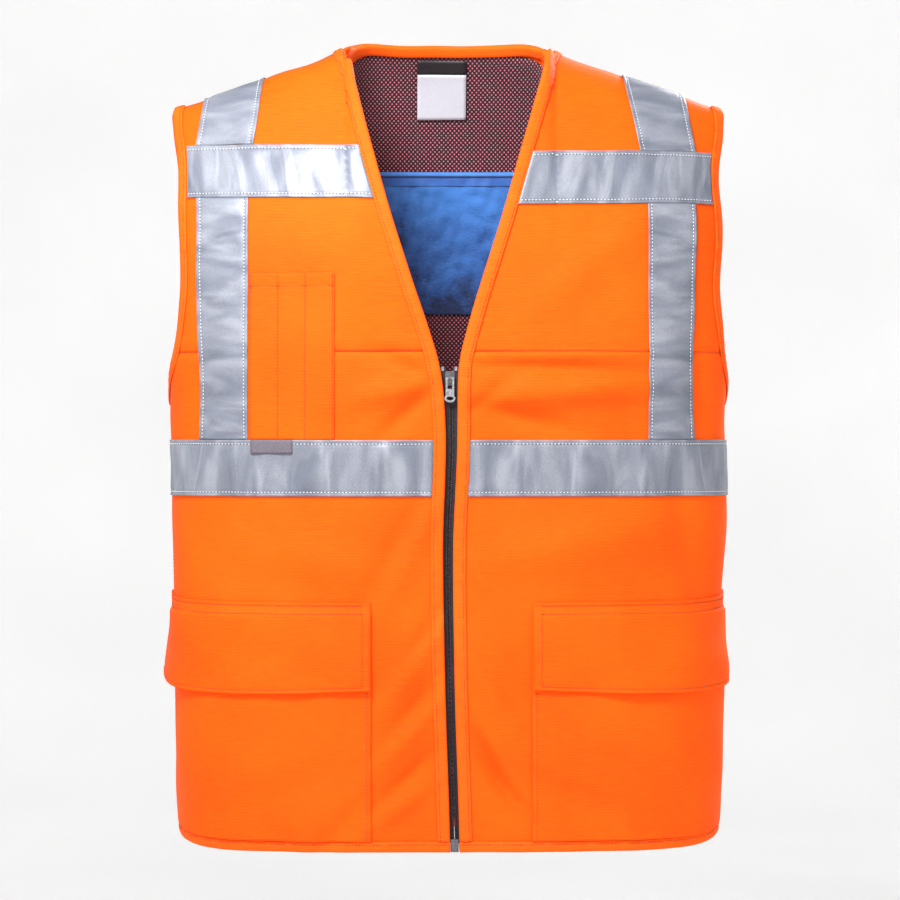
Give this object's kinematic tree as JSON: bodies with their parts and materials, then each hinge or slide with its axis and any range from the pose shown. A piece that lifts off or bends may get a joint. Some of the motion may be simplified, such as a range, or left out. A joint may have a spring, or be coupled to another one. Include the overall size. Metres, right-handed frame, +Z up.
{
  "type": "hi-vis cooling vest",
  "caption": "Sleeveless zip-front work vest with reflective tape, flap pockets, a mesh lining and a cooling panel in the back, in its worn form.",
  "frame": {"origin": "between the inner ends of the two shoulder seams, in the plane of the shoulder and side seams, where the vest sits on the shoulders", "axes": "+Z up along the wearer's body, -Y towards the wearer's front, +X towards the wearer's left"},
  "size_m": [0.4953, 0.2242, 0.699],
  "materials": {
    "orange_cloth": "fluorescent woven polyester",
    "orange_binding": "folded woven binding",
    "reflective_tape": "grey satin retroreflective cloth",
    "mesh_lining": "knitted mesh",
    "cooling_cloth": "crumpled absorbent sheet",
    "black_cloth": "woven zip cloth and label",
    "zip_coil": "coil",
    "white_label": "printed label cloth, left bare",
    "grey_label": "woven tag, left bare",
    "gunmetal": "dark plated",
    "silver": "bright plated"
  },
  "bodies": {
    "vest": {"right_front_yoke": "orange_cloth", "right_front_panel": "orange_cloth", "left_front_yoke": "orange_cloth", "left_front_panel": "orange_cloth", "back_panel": "orange_cloth", "back_lining": "mesh_lining", "cooling_panel": "cooling_cloth", "neck_and_front_binding": "orange_binding", "right_armhole_binding": "orange_binding", "left_armhole_binding": "orange_binding", "hem_binding": "orange_binding", "back_waist_tape": "reflective_tape", "right_waist_tape": "reflective_tape", "right_chest_tape": "reflective_tape", "right_lower_brace_tape": "reflective_tape", "right_shoulder_tape": "reflective_tape", "right_back_brace_tape": "reflective_tape", "left_waist_tape": "reflective_tape", "left_chest_tape": "reflective_tape", "left_lower_brace_tape": "reflective_tape", "left_shoulder_tape": "reflective_tape", "left_back_brace_tape": "reflective_tape", "pen_pocket": "orange_cloth", "right_patch_pocket": "orange_cloth", "right_pocket_flap": "orange_cloth", "left_patch_pocket": "orange_cloth", "left_pocket_flap": "orange_cloth", "neck_label_strip": "black_cloth", "neck_label": "white_label", "tape_tag": "grey_label", "zip_cloth_right": "black_cloth", "zip_cloth_left": "black_cloth", "zip_chain": "zip_coil", "zip_slider": "gunmetal", "zip_box": "gunmetal", "zip_stop_right": "silver", "zip_stop_left": "silver"},
    "zip_pull": {"zip_pull": "silver"}
  },
  "joints": [
    {"name": "zip_pull_hinge", "type": "hinge", "parent": "vest", "child": "zip_pull", "pos_m": [-0.0018, -0.11355, -0.28835], "axis": [-1, 0, 0], "range_deg": [0, 170]}
  ]
}
